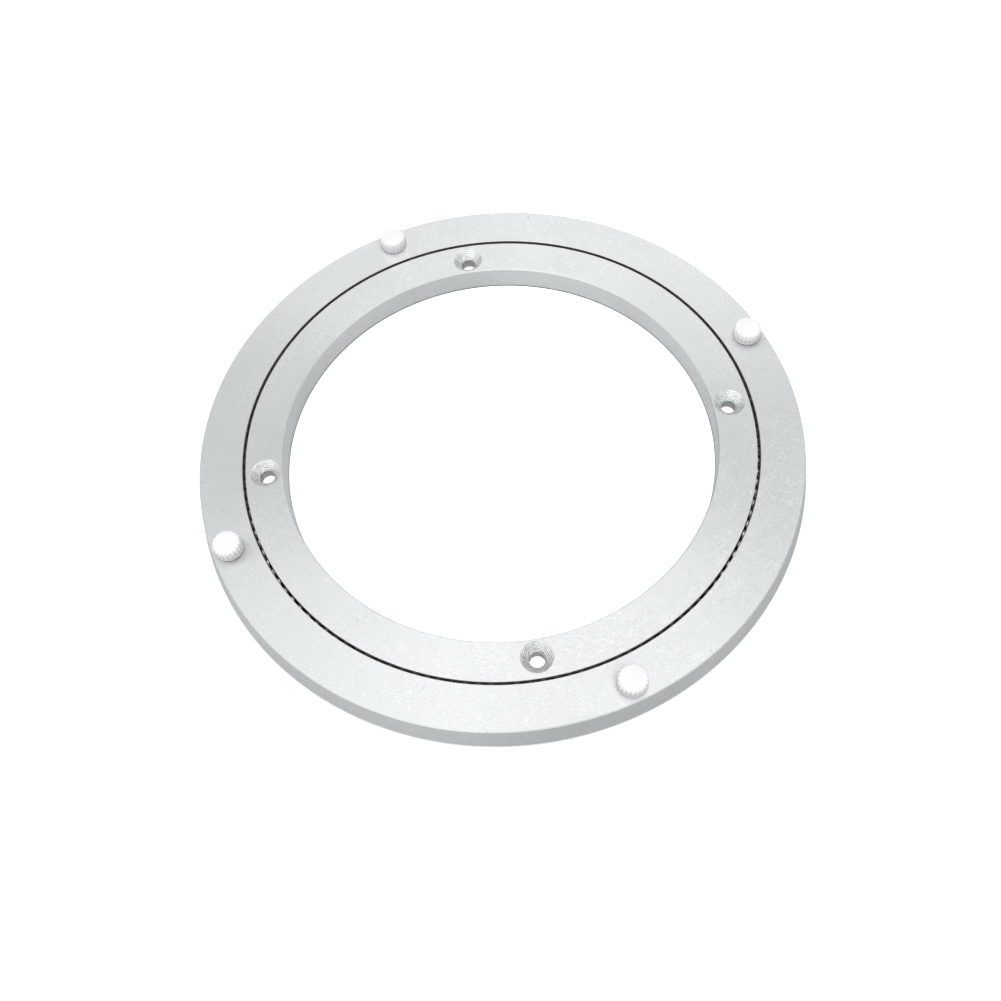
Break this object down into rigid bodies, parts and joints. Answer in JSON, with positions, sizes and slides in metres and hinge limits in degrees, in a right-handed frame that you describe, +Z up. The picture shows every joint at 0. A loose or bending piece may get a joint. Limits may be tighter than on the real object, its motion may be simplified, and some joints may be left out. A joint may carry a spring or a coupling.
{
  "type": "lazy susan bearing",
  "caption": "Flat turntable bearing: two concentric aluminium rings on a caged ball race, countersunk screw holes in the inner ring and non-skid caps on the outer ring.",
  "frame": {"origin": "on the axis of rotation, in the plane of the inner ring's underside, which lies on the table", "axes": "+Z up along the axis of rotation, from the table to the board; +X and +Y each pass through a screw hole"},
  "size_m": [0.2, 0.2, 0.0133],
  "materials": {
    "ring_aluminium": "sandblasted, matt, with fine machined screw seats",
    "cap_plastic": "white, satin",
    "cage_plastic": "natural nylon",
    "ball_steel": "polished bearing steel",
    "plug_steel": "zinc plated set screw"
  },
  "bodies": {
    "base": {"inner_ring": "ring_aluminium"},
    "turntable": {"outer_ring": "ring_aluminium", "filler_plug": "plug_steel", "pad_1": "cap_plastic", "pad_2": "cap_plastic", "pad_3": "cap_plastic", "pad_4": "cap_plastic"},
    "cage": {"cage_strip_1": "cage_plastic", "cage_strip_2": "cage_plastic", "cage_strip_3": "cage_plastic", "cage_strip_4": "cage_plastic", "cage_strip_5": "cage_plastic", "cage_strip_6": "cage_plastic", "cage_strip_7": "cage_plastic", "cage_strip_8": "cage_plastic", "cage_strip_9": "cage_plastic", "balls_1": "ball_steel", "balls_2": "ball_steel", "balls_3": "ball_steel", "balls_4": "ball_steel", "balls_5": "ball_steel", "balls_6": "ball_steel", "balls_7": "ball_steel", "balls_8": "ball_steel", "balls_9": "ball_steel"}
  },
  "joints": [
    {"name": "ring_spin", "type": "hinge", "parent": "base", "child": "turntable", "pos_m": [0, 0, 0.0045], "axis": [0, 0, 1], "continuous": true},
    {"name": "cage_spin", "type": "hinge", "parent": "base", "child": "cage", "pos_m": [0, 0, 0.0045], "axis": [0, 0, 1], "continuous": true}
  ],
  "couplings": [
    {"joint": "cage_spin", "follows": "ring_spin", "ratio": 0.5063}
  ]
}
